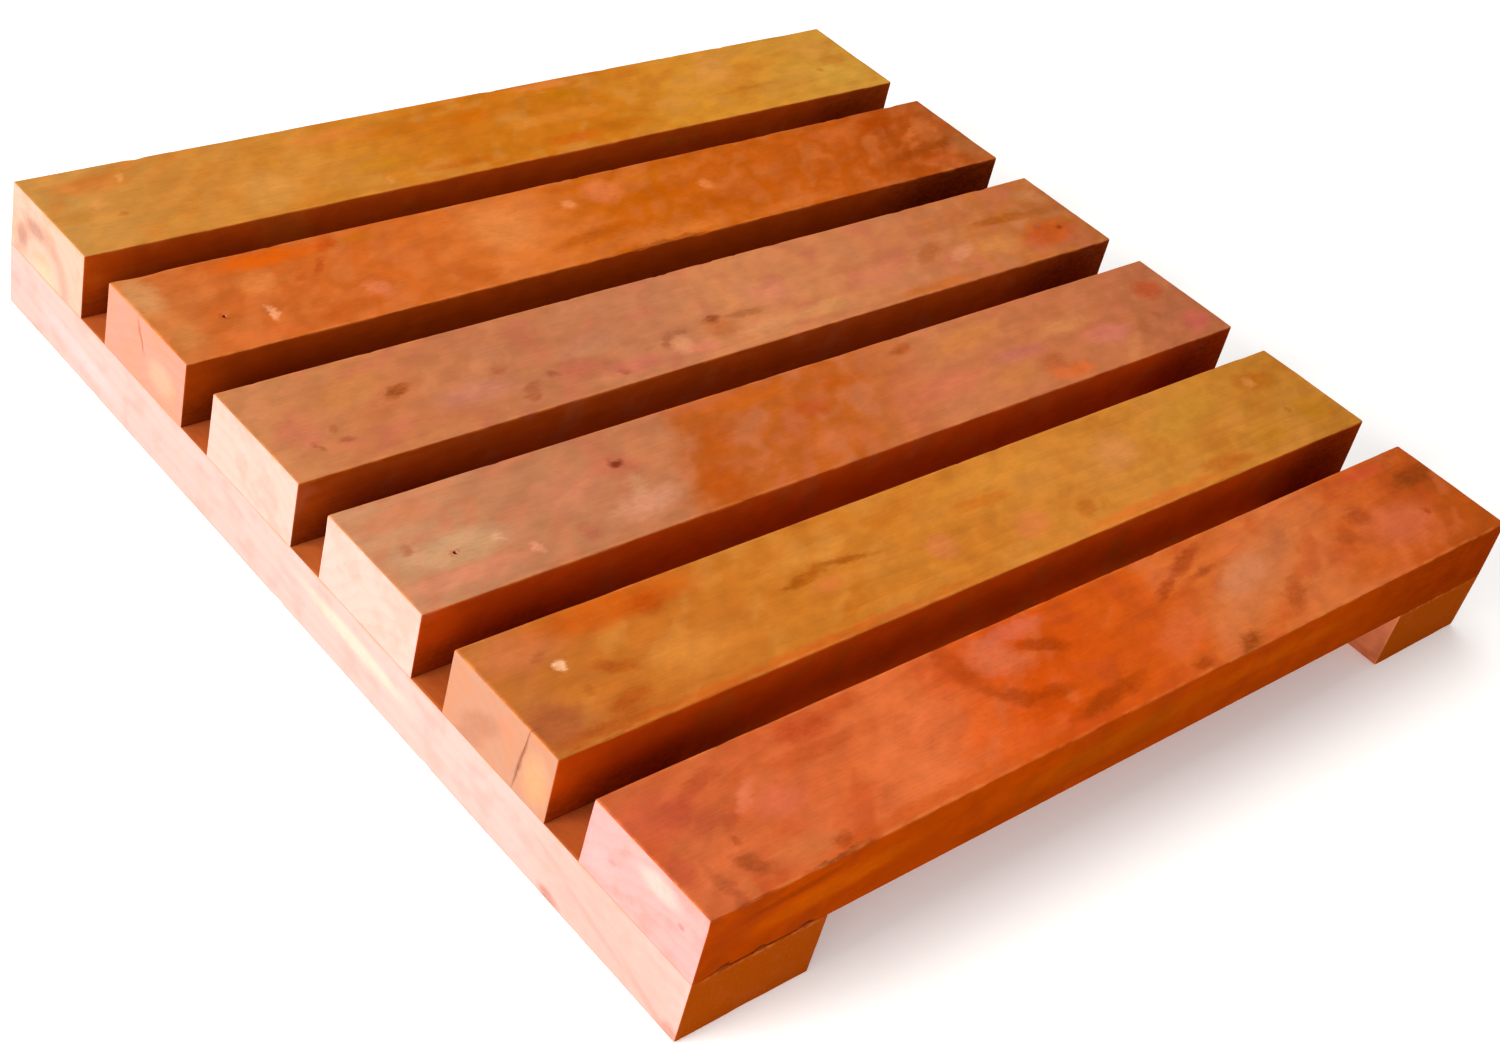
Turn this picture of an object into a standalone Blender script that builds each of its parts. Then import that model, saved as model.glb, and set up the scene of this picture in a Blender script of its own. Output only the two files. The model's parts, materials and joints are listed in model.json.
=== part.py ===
"""Slatted wooden bath mat: deck slats nailed across two bearers.

Metres, +Z up. The origin is on the floor under the middle of the mat. +X runs along the slats, from
the left bearer to the right one. +Y runs across them, from the front slat to the back one.
"""
import math

import bmesh
import bpy

# Deck slats
SLAT_COUNT = 6
SLAT_LENGTH = 0.380
SLAT_WIDTH = 0.050
SLAT_THICKNESS = 0.025
SLAT_GAP = 0.016

# Bearers: as long as the deck is deep, with their outer faces flush with the slats' ends
BEARER_WIDTH = 0.050
BEARER_HEIGHT = 0.024

# Every long edge and corner of the boards is eased
ARRIS_RADIUS = 0.0012
ARRIS_SEGMENTS = 2

# Slats rest on the bearers with this gap, which keeps the two solids apart
SEAT_GAP = 0.0003

# Lost-head nails, driven from above and punched below the deck
NAIL_LENGTH = 0.038
NAIL_SHANK_RADIUS = 0.0012
NAIL_POINT_LENGTH = 0.0035
NAIL_HEAD_RADIUS = 0.0017
NAIL_HEAD_RIM = 0.0006
NAIL_HEAD_HEIGHT = 0.0016
NAIL_PUNCH_DEPTH = 0.0012
NAIL_SETBACK = 0.006  # from a slat's centre line towards the front
NAIL_CLEARANCE = 0.0003  # between a nail and the wood around it
NAIL_SIDES = 12

# A cutter reaches this far out of the wood
CUT_PAST = 0.002

# What follows from the sizes above
SLAT_PITCH = SLAT_WIDTH + SLAT_GAP
DECK_DEPTH = SLAT_COUNT * SLAT_PITCH - SLAT_GAP
SLAT_BOTTOM = BEARER_HEIGHT + SEAT_GAP
DECK_TOP = SLAT_BOTTOM + SLAT_THICKNESS
BEARER_OFFSET = (SLAT_LENGTH - BEARER_WIDTH) / 2

# Linear base colours of the wood, and the slats' tones from the back to the front
WOOD_COLOURS = {
    "wood_golden": (0.60, 0.21, 0.030),
    "wood_orange": (0.58, 0.14, 0.018),
    "wood_rose": (0.57, 0.18, 0.065),
    "wood_red": (0.60, 0.12, 0.022),
    "wood_bearer": (0.55, 0.17, 0.035),
}
SLAT_TONES = ("wood_golden", "wood_orange", "wood_rose", "wood_rose", "wood_golden", "wood_red")
WOOD_ROUGHNESS = 0.5
STEEL_COLOUR = (0.25, 0.23, 0.21)
STEEL_ROUGHNESS = 0.45


def clear_scene():
    """Remove every object of the scene."""
    for item in list(bpy.data.objects):
        bpy.data.objects.remove(item, do_unlink=True)


def new_collection(name):
    """Add an empty collection to the scene."""
    group = bpy.data.collections.new(name)
    bpy.context.scene.collection.children.link(group)
    return group


def new_material(name, colour, roughness, metallic=0.0):
    """A Principled material of one colour."""
    material = bpy.data.materials.new(name)
    material.use_nodes = True
    shader = material.node_tree.nodes["Principled BSDF"]
    shader.inputs["Base Color"].default_value = (*colour, 1.0)
    shader.inputs["Roughness"].default_value = roughness
    shader.inputs["Metallic"].default_value = metallic
    material.diffuse_color = (*colour, 1.0)
    return material


def new_object(name, shape, group, location, parent=None):
    """Turn a bmesh into an object of a collection."""
    mesh = bpy.data.meshes.new(name)
    shape.to_mesh(mesh)
    shape.free()
    item = bpy.data.objects.new(name, mesh)
    item.location = location
    item.parent = parent
    group.objects.link(item)
    return item


def make_board(name, size, location, material, group, parent):
    """A square-edged board with eased edges, centred on its location."""
    shape = bmesh.new()
    bmesh.ops.create_cube(shape, size=1.0)
    bmesh.ops.scale(shape, vec=size, verts=shape.verts)
    board = new_object(name, shape, group, location, parent)
    board.data.materials.append(material)
    arris = board.modifiers.new("arris", "BEVEL")
    arris.width = ARRIS_RADIUS
    arris.segments = ARRIS_SEGMENTS
    arris.limit_method = "ANGLE"
    return board


def make_turned(name, profile, location, group, parent=None):
    """A solid turned about Z from (radius, height) points that run from its top down to its foot."""
    shape = bmesh.new()
    points = [shape.verts.new((radius, 0.0, height)) for radius, height in profile]
    for upper, lower in zip(points, points[1:]):
        shape.edges.new((upper, lower))
    turned = new_object(name, shape, group, location, parent)
    turn = turned.modifiers.new("turn", "SCREW")
    turn.axis = "Z"
    turn.angle = math.tau
    turn.steps = NAIL_SIDES
    turn.render_steps = NAIL_SIDES
    turn.use_merge_vertices = True
    turn.merge_threshold = 0.00001
    return turned


def nail_profile():
    """Half outline of a nail, from the middle of its head down to its point."""
    return [
        (0.0, 0.0),
        (NAIL_HEAD_RADIUS, 0.0),
        (NAIL_HEAD_RADIUS, -NAIL_HEAD_RIM),
        (NAIL_SHANK_RADIUS, -NAIL_HEAD_HEIGHT),
        (NAIL_SHANK_RADIUS, NAIL_POINT_LENGTH - NAIL_LENGTH),
        (0.0, -NAIL_LENGTH),
    ]


def hole_profile():
    """Half outline of the hole around a nail, from above the deck down to its flat bottom."""
    top = NAIL_PUNCH_DEPTH + CUT_PAST
    head = NAIL_HEAD_RADIUS + NAIL_CLEARANCE
    shank = NAIL_SHANK_RADIUS + NAIL_CLEARANCE
    bottom = -NAIL_LENGTH - NAIL_CLEARANCE
    return [
        (0.0, top),
        (head, top),
        (head, -NAIL_HEAD_RIM - NAIL_CLEARANCE),
        (shank, -NAIL_HEAD_HEIGHT - NAIL_CLEARANCE),
        (shank, bottom),
        (0.0, bottom),
    ]


def cut(board, cutter):
    """Take a cutter's shape out of a board."""
    boolean = board.modifiers.new("cut " + cutter.name, "BOOLEAN")
    boolean.operation = "DIFFERENCE"
    boolean.object = cutter


def slat_y(index):
    """The centre line of a slat, with index 0 at the back."""
    return (DECK_DEPTH - SLAT_WIDTH) / 2 - index * SLAT_PITCH


def build():
    clear_scene()
    parts = new_collection("bath_mat")
    cutters = new_collection("cutters")
    woods = {name: new_material(name, colour, WOOD_ROUGHNESS) for name, colour in WOOD_COLOURS.items()}
    steel = new_material("nail_steel", STEEL_COLOUR, STEEL_ROUGHNESS, metallic=1.0)

    mat = bpy.data.objects.new("mat", None)
    parts.objects.link(mat)

    bearers = {}
    for side, sign in (("left", -1), ("right", 1)):
        bearers[side] = make_board(
            f"bearer_{side}",
            (BEARER_WIDTH, DECK_DEPTH, BEARER_HEIGHT),
            (sign * BEARER_OFFSET, 0.0, BEARER_HEIGHT / 2),
            woods["wood_bearer"],
            parts,
            mat,
        )

    for index in range(SLAT_COUNT):
        number = index + 1
        slat = make_board(
            f"slat_{number}",
            (SLAT_LENGTH, SLAT_WIDTH, SLAT_THICKNESS),
            (0.0, slat_y(index), SLAT_BOTTOM + SLAT_THICKNESS / 2),
            woods[SLAT_TONES[index % len(SLAT_TONES)]],
            parts,
            mat,
        )
        for side, bearer in bearers.items():
            head = (bearer.location.x, slat_y(index) - NAIL_SETBACK, DECK_TOP - NAIL_PUNCH_DEPTH)
            nail = make_turned(f"nail_{side}_{number}", nail_profile(), head, parts, mat)
            nail.data.materials.append(steel)
            hole = make_turned(f"hole_{side}_{number}", hole_profile(), head, cutters)
            hole.hide_render = True
            hole.display_type = "WIRE"
            cut(slat, hole)
            cut(bearer, hole)


build()
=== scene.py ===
"""Looks of the slatted wooden bath mat: detailed boards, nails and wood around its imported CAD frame.

Metres, +Z up, in the CAD frame: +X runs along the slats, +Y from the front slat to the back one.
Every board is modelled in its own frame: x along its grain, y across it and z up, from its middle.
"""
import json
import math
import random
from dataclasses import dataclass, field

import bmesh
import bpy
import numpy as np
from mathutils import Matrix, Quaternion, Vector, noise


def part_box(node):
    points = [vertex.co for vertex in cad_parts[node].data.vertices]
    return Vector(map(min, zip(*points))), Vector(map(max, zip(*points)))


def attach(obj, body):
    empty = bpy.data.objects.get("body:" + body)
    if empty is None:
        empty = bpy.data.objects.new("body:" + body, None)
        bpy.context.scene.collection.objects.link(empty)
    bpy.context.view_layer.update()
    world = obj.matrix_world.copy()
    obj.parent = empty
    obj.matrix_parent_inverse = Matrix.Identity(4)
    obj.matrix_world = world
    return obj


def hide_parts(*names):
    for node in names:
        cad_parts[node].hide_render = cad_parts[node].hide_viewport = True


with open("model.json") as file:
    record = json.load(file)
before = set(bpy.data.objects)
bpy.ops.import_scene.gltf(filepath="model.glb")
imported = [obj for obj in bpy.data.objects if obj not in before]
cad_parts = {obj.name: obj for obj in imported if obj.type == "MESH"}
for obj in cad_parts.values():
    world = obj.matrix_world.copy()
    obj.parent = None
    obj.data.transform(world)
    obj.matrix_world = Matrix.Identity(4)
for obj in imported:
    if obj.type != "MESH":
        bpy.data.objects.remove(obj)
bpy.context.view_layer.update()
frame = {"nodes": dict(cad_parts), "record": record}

MM = 0.001

# ---------------------------------------------------------------- the boards' shapes

GRID_ALONG = 2.0 * MM
GRID_ACROSS = 1.4 * MM
# Grid lines this far in from every edge carry its rounding
EDGE_LINES = (0.0, 0.12 * MM, 0.3 * MM, 0.55 * MM, 0.9 * MM, 1.35 * MM, 2.0 * MM)

TOP_ARRIS = 0.8 * MM  # rounding of the edges that feet and hands touch
SEAT_ARRIS = 0.32 * MM  # rounding where slats and bearers were sanded flush
ARRIS_WEAR = 0.55 * MM  # how much more the worn stretches are rounded
SWELL = 0.28 * MM  # depth of the long hollows of a planed face
RIPPLE = 0.05 * MM  # depth of the short ones
SWELL_LUMPS = (0.12, 0.035, 0.02)  # how long they are along the board, across it and up
RIPPLE_LUMPS = (0.02, 0.006, 0.006)
WEAR_LUMPS = (0.03, 0.02, 0.02)  # and how long the worn stretches are
EDGE_NICKS = 14  # on each board
SEAT_FILL = 0.27 * MM  # how far a bearer rises into the 0.3 mm that the CAD solids keep

NAIL_HEAD = 1.55 * MM
NAIL_RIM = 0.6 * MM
NAIL_NECK = 1.7 * MM
NAIL_SHANK = 1.15 * MM
NAIL_POINT = 4.0 * MM
NAIL_FIT = 0.08 * MM
NAIL_SIDES = 32
ABOVE = 3.0 * MM  # how far a cutter reaches past the top it opens
FILLER_SINK = 0.12 * MM  # how far the filler over a punched nail has shrunk
FILLER_GAP = 0.75 * MM  # radius of the gap where the filler has dropped out
FILLER_DIMPLE = (2.1 * MM, 2.1 * MM, 2.0 * MM)  # its radii
FILLER_SPOT = 2.4  # radius of the filler's colour, in mm
FILLER_SHARE = 0.6


@dataclass
class Board:
    """One board: its CAD node, its frame and what is particular to it."""

    node: str
    slot: str
    size: tuple
    place: Matrix
    seed: int
    dents: list = field(default_factory=list)
    checks: list = field(default_factory=list)
    seat: int = -1  # the side, -1 below or 1 above, where it meets the other boards


def fbm(point, scale, seed, octaves=2):
    """Smooth noise, about -1 to 1, whose lumps are as long as the scale along each axis."""
    spot = Vector((point[0] / scale[0] + seed * 7.3, point[1] / scale[1] - seed * 3.1, point[2] / scale[2]))
    return noise.fractal(spot, 1.0, 2.0, octaves, noise_basis="PERLIN_ORIGINAL")


def grid_lines(length, step):
    """Grid lines along one side of a board: fine at both edges and even between them."""
    inner = length / 2 - EDGE_LINES[-1]
    count = max(2, round(2 * inner / step))
    even = np.linspace(-inner, inner, count + 1)[1:-1]
    edge = length / 2 - np.array(EDGE_LINES)
    return np.concatenate([-edge, even, edge[::-1]])


def box_shell(lines):
    """Points and outward quads on the surface of a box, at the grid lines of its three axes."""
    shape = [len(line) for line in lines]
    grid = np.arange(math.prod(shape)).reshape(shape)
    quads = []
    for axis in range(3):
        for end in (0, -1):
            side = np.take(grid, end, axis=axis)
            corners = [side[:-1, :-1], side[1:, :-1], side[1:, 1:], side[:-1, 1:]]
            quad = np.stack(corners, -1).reshape(-1, 4)
            outward = (end == -1) != (axis == 1)
            quads.append(quad if outward else quad[:, ::-1])
    used, corners = np.unique(np.concatenate(quads), return_inverse=True)
    points = np.stack(np.meshgrid(*lines, indexing="ij"), -1).reshape(-1, 3)[used]
    return points, corners.reshape(-1, 4)


def eased(points, half, radius):
    """Points moved onto rounded edges, and the outward direction at each."""
    inner = np.clip(points, -half + radius[:, None], half - radius[:, None])
    outward = points - inner
    length = np.maximum(np.linalg.norm(outward, axis=1), 1e-9)[:, None]
    outward = outward / length
    return inner + outward * radius[:, None], outward


def exposure(point, board):
    """How open a point's height is to wear: 0 at the seat and 1 at the face away from it."""
    return min(1.0, max(0.0, 0.5 - board.seat * point[2] / board.size[2]))


def arris_radius(point, board):
    """How far an edge is rounded near a point of the board."""
    open_share = exposure(point, board)
    plain = SEAT_ARRIS + (TOP_ARRIS - SEAT_ARRIS) * open_share
    worn = max(0.0, fbm(point, WEAR_LUMPS, board.seed + 11, 3))
    return plain + ARRIS_WEAR * open_share * worn


def hollow(point, board):
    """How far a planed face lies below its flat at a point; the seat stays flat."""
    swell = 0.5 + 0.5 * fbm(point, SWELL_LUMPS, board.seed)
    ripple = 0.5 + 0.5 * fbm(point, RIPPLE_LUMPS, board.seed + 5)
    depth = SWELL * min(1.0, max(0.0, swell)) + RIPPLE * min(1.0, max(0.0, ripple))
    return depth * exposure(point, board)


def dent_depths(points, dents):
    """How far dents and nicks push the points in: each is a centre, radii along x, y and z and a depth."""
    depth = np.zeros(len(points))
    for centre, radii, deep in dents:
        away = np.linalg.norm((points - np.array(centre)) / np.array(radii), axis=1)
        depth += deep * np.clip(1.0 - away**2, 0.0, None) ** 2
    return depth


def edge_nicks(board, count, rng):
    """Small nicks along the board's two exposed long edges."""
    half = [side / 2 for side in board.size]
    nicks = []
    for _ in range(count):
        long = rng.uniform(1.0, 4.0) * MM
        wide = rng.uniform(0.7, 1.6) * MM
        centre = (rng.uniform(-half[0], half[0]), rng.choice((-1, 1)) * half[1], -board.seat * half[2])
        nicks.append((centre, (long, wide, wide), rng.uniform(0.15, 0.5) * MM))
    return nicks


def mesh_object(name, points, faces):
    """A smooth shaded mesh object."""
    mesh = bpy.data.meshes.new(name)
    mesh.from_pydata([tuple(p) for p in points], [], [tuple(int(i) for i in f) for f in faces])
    mesh.validate()
    mesh.shade_smooth()
    made = bpy.data.objects.new(name, mesh)
    bpy.context.scene.collection.objects.link(made)
    return made


def board_object(board, name):
    """The board's surface, with worn edges, hollows, dents and nicks."""
    steps = (GRID_ALONG, GRID_ACROSS, GRID_ACROSS)
    points, quads = box_shell([grid_lines(side, step) for side, step in zip(board.size, steps)])
    half = np.array(board.size) / 2
    by_edges = (half - np.abs(points) < EDGE_LINES[-1]).sum(axis=1) > 1
    radius = np.full(len(points), SEAT_ARRIS)
    radius[by_edges] = [arris_radius(point, board) for point in points[by_edges]]
    points, outward = eased(points, half, radius)
    dents = board.dents + edge_nicks(board, EDGE_NICKS, random.Random(board.seed))
    inward = np.array([hollow(point, board) for point in points]) + dent_depths(points, dents)
    made = mesh_object(name, points - outward * inward[:, None], quads)
    made.matrix_world = board.place
    return made


def turned(name, profile, place):
    """A solid turned about z from (radius, height) points, from its top down to its foot."""
    points, faces, rows = [], [], []
    for radius, height in profile:
        first = len(points)
        if radius == 0.0:
            points.append((0.0, 0.0, height))
            rows.append([first] * NAIL_SIDES)
        else:
            turn = [math.tau * i / NAIL_SIDES for i in range(NAIL_SIDES)]
            points += [(radius * math.cos(a), radius * math.sin(a), height) for a in turn]
            rows.append(list(range(first, first + NAIL_SIDES)))
    for upper, lower in zip(rows, rows[1:]):
        for i in range(NAIL_SIDES):
            after = (i + 1) % NAIL_SIDES
            ring = (upper[i], lower[i], lower[after], upper[after])
            faces.append(tuple(dict.fromkeys(ring)))
    made = mesh_object(name, points, faces)
    made.data.set_sharp_from_angle(angle=math.radians(40))
    made.matrix_world = place
    return made


def crack_cutter(board, crack):
    """A thin wedge for a drying check in an end: its end, its line of (y, z) points, width and depth."""
    end, line, width, depth = crack
    rows = []
    for index, (y, z) in enumerate(line):
        share = index / (len(line) - 1)
        wide = width * (0.25 + 0.75 * math.sin(math.pi * (0.15 + share * 0.85)))
        deep = depth * (0.5 + 0.5 * math.sin(math.pi * share))
        mouth = end * (board.size[0] / 2 + MM)
        tip = end * (board.size[0] / 2 - deep)
        rows.append([(mouth, y - wide / 2, z), (mouth, y + wide / 2, z), (tip, y, z)])
    points = [p for row in rows for p in row]
    faces = [(0, 1, 2), tuple(reversed(range(len(points) - 3, len(points))))]
    for r in range(len(rows) - 1):
        for i in range(3):
            a, b = r * 3 + i, r * 3 + (i + 1) % 3
            faces.append((a, a + 3, b + 3, b))
    made = mesh_object("crack", points, faces)
    shape = bmesh.new()
    shape.from_mesh(made.data)
    bmesh.ops.recalc_face_normals(shape, faces=shape.faces)
    shape.to_mesh(made.data)
    shape.free()
    made.matrix_world = board.place
    return made


def cut_away(piece, cutters):
    """Take the cutters out of a piece for good."""
    for cutter in cutters:
        boolean = piece.modifiers.new("cut", "BOOLEAN")
        boolean.operation = "DIFFERENCE"
        boolean.solver = "MANIFOLD"
        boolean.object = cutter
    bpy.context.view_layer.update()
    shaped = bpy.data.meshes.new_from_object(piece.evaluated_get(bpy.context.evaluated_depsgraph_get()))
    piece.modifiers.clear()
    piece.data = shaped
    shaped.set_sharp_from_angle(angle=math.radians(45))


def nail_profile(length):
    """Half outline of a lost-head nail with a cupped head, from its top down to its point."""
    return [
        (0.0, -0.35 * MM),
        (0.5 * NAIL_HEAD, -0.28 * MM),
        (0.8 * NAIL_HEAD, 0.0),
        (0.95 * NAIL_HEAD, 0.0),
        (NAIL_HEAD, -0.1 * MM),
        (NAIL_HEAD, -NAIL_RIM),
        (NAIL_SHANK, -NAIL_NECK),
        (NAIL_SHANK, NAIL_POINT - length),
        (0.35 * NAIL_SHANK, 0.2 * NAIL_POINT - length),
        (0.0, -length),
    ]


def hole_profile(length):
    """Half outline of the hole around a nail."""
    return [
        (0.0, NAIL_FIT),
        (NAIL_HEAD + NAIL_FIT, NAIL_FIT),
        (NAIL_HEAD + NAIL_FIT, -NAIL_RIM),
        (NAIL_SHANK + NAIL_FIT, -NAIL_NECK),
        (NAIL_SHANK + NAIL_FIT, -length - NAIL_FIT),
        (0.0, -length - NAIL_FIT),
    ]


# ---------------------------------------------------------------- the materials

WOOD_SHEEN = 0.0  # the oil has sunk in and left no gloss
WEAR_AND_HIGHLIGHT = (226, 132, 62)  # arrises lighter in patches: wear and painted highlight
RECESS_SHADE = (132, 66, 34)  # painted shade on the walls of nail holes and drying checks
LOW_SIDE_TONE = (92, 30, 4)  # the sides' colour towards their bottom, where they are darker
LOW_SIDE_SHARE = 0.2
SLANT = 0.55  # how far the clouds lean along the board, in mm per mm across it
BLOOM_SHARE = 0.5
SIDE_CLOUDS = 0.35
PORE_SHARE = 0.25
WEAR_AND_HIGHLIGHT_SHARE = 0.3
FIBRE_TONES = (0.78, 0.85)  # how light the grain leaves the colour, from dark fibres to pale ones
FIBRE_DULLNESS = (0.40, 0.50)  # their roughness
RING_WARP = 9.0  # how far the growth rings waver, in mm
TEAR = (9.0, 7.0, 7.0)  # how far the marks' edges are torn, in mm
EDGE_BAND = 1.6  # width of the band of wear and painted highlight along an arris, in mm
RELIEF = {"Strength": 0.55, "Distance": 0.12 * MM}

# Sizes of the wood's patterns in mm: along the grain, across it and up
WANDER = (26, 16, 16)
CLOUD = (17, 19, 19)
MOTTLE = (10, 7.5, 7.5)
WARP = (70, 18, 18)
PATCHY = (60, 25, 25)
FIBRE = (16, 0.55, 0.55)
FINE_FIBRE = (5, 0.22, 0.22)
PORE = (2.6, 0.2, 0.2)
RAGGED = (7, 4, 4)
BROKEN = (3.5, 1.6, 1.6)
END_BLOTCH = (12, 9, 9)
WEAR_AND_HIGHLIGHT_PATCH = (9, 3, 3)


def tone(red, green, blue):
    """A linear colour from the 0 to 255 values a paint chart gives."""
    shares = [value / 255 for value in (red, green, blue)]
    return tuple(s / 12.92 if s <= 0.04045 else ((s + 0.055) / 1.055) ** 2.4 for s in shares) + (1.0,)


class Nodes:
    """Short calls that add nodes to one material and return their output sockets.

    A colour is a socket or (red, green, blue) as on a paint chart.
    """

    def __init__(self, name):
        self.material = bpy.data.materials.new(name)
        self.material.use_nodes = True
        self.tree = self.material.node_tree
        self.shader = self.tree.nodes["Principled BSDF"]

    def add(self, kind, inputs=(), **settings):
        node = self.tree.nodes.new(kind)
        for key, value in settings.items():
            setattr(node, key, value)
        for key, value in dict(inputs).items():
            self.put(node.inputs[key], value)
        return node

    def put(self, socket, value):
        """Link a socket to an input, or set the input to a value."""
        if isinstance(value, bpy.types.NodeSocket):
            self.tree.links.new(value, socket)
        elif socket.type == "RGBA":
            socket.default_value = tone(*value)
        else:
            socket.default_value = value

    def coords(self, output):
        return self.add("ShaderNodeTexCoord").outputs[output]

    def math(self, operation, a, b=0.0, clamp=False):
        return self.add("ShaderNodeMath", {0: a, 1: b}, operation=operation, use_clamp=clamp).outputs[0]

    def plus(self, a, b):
        return self.math("ADD", a, b)

    def minus(self, a, b):
        return self.math("SUBTRACT", a, b)

    def times(self, a, b):
        return self.math("MULTIPLY", a, b)

    def vector(self, operation, a, b=(0.0, 0.0, 0.0), output="Vector"):
        return self.add("ShaderNodeVectorMath", {0: a, 1: b}, operation=operation).outputs[output]

    def xyz(self, vector):
        return self.add("ShaderNodeSeparateXYZ", {0: vector}).outputs

    def joined(self, x, y, z):
        return self.add("ShaderNodeCombineXYZ", {0: x, 1: y, 2: z}).outputs[0]

    def step(self, value, low, high, bottom=0.0, top=1.0):
        """A soft step from bottom to top as the value goes from low to high."""
        inputs = {"Value": value, "From Min": low, "From Max": high, "To Min": bottom, "To Max": top}
        node = self.add("ShaderNodeMapRange", inputs, interpolation_type="SMOOTHSTEP")
        return node.outputs["Result"]

    def noise(self, vector, scale=1.0, detail=2.0, roughness=0.5, output="Fac"):
        inputs = {"Vector": vector, "Scale": scale, "Detail": detail, "Roughness": roughness}
        return self.add("ShaderNodeTexNoise", inputs).outputs[output]

    def mix(self, share, a, b, blend="MIX"):
        node = self.add("ShaderNodeMix", data_type="RGBA", blend_type=blend, clamp_factor=True)
        self.put(node.inputs[0], share)
        self.put(node.inputs[6], a)
        self.put(node.inputs[7], b)
        return node.outputs[2]

    def ramp(self, share, stops):
        """A smooth colour ramp of (place, colour) stops."""
        node = self.add("ShaderNodeValToRGB", {0: share})
        band = node.color_ramp
        band.interpolation = "EASE"
        while len(band.elements) < len(stops):
            band.elements.new(1.0)
        for element, (place, colour) in zip(band.elements, stops):
            element.position = place
            element.color = tone(*colour)
        return node.outputs["Color"]

    def away(self, vector, place, radii, turn):
        """How far a point lies from the middle of a turned ellipse, where 1 is its rim."""
        inputs = {
            "Vector": vector,
            "Location": (*place, 0.0),
            "Rotation": (0.0, 0.0, math.radians(turn)),
            "Scale": (*radii, 1000.0),
        }
        inside = self.add("ShaderNodeMapping", inputs, vector_type="TEXTURE").outputs[0]
        return self.vector("LENGTH", inside, output="Value")

    def marked(self, colour, marks, vector, corner, mask):
        """The colour with soft marks over it, placed from a corner. A mark with a rim is a loop."""
        for across, down, wide, deep, turn, shade, strength, *rim in marks:
            away = self.away(vector, (corner[0] + across, corner[1] - down), (wide, deep), turn)
            if rim:
                away = self.math("ABSOLUTE", self.minus(away, 1.0))
            inner, outer = (0.0, rim[0]) if rim else (0.3, 1.0)
            spot = self.step(away, inner, outer, strength, 0.0)
            colour = self.mix(self.times(spot, mask), colour, shade)
        return colour


@dataclass
class Wood:
    """How one board's wood looks, in mm and in paint chart colours.

    A mark is (across, down, two radii, turn in degrees, colour, share), and a rim if it is a loop.
    It is placed from the top's left end and back edge, or from the upper left corner of a side.
    """

    along: list  # (x, colour) of the top face, left to right
    cloud: tuple  # colour of its soft clouds
    cloud_share: float
    bloom: tuple  # colour of its pale patches
    streak: tuple  # colour of its darker grain
    streak_share: float
    side: tuple  # colour of its long sides and underside: painted shade on the slats, painted light on the bearers' inner sides
    end: tuple  # colour of its end grain
    pith: tuple  # (y, z) of the tree's centre, in mm from the board's middle
    lean: float  # how far the pith leans across the grain, in mm per mm
    ring: float  # mm between growth rings
    marks: tuple = ()
    # The front marks of slats 1 to 5 are painted shade in the gaps.
    end_marks: tuple = ()
    front_marks_and_shade: tuple = ()
    pale_side_and_highlight: tuple = None  # colour of the side at +y, where it differs: paler, partly as a painted highlight of the window's glare
    pale_marks: tuple = ()  # and the marks on it
    drift: float = -0.3  # how far the colours along the board slant across it
    wobble: float = 14.0  # how far they wander, in mm


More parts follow.
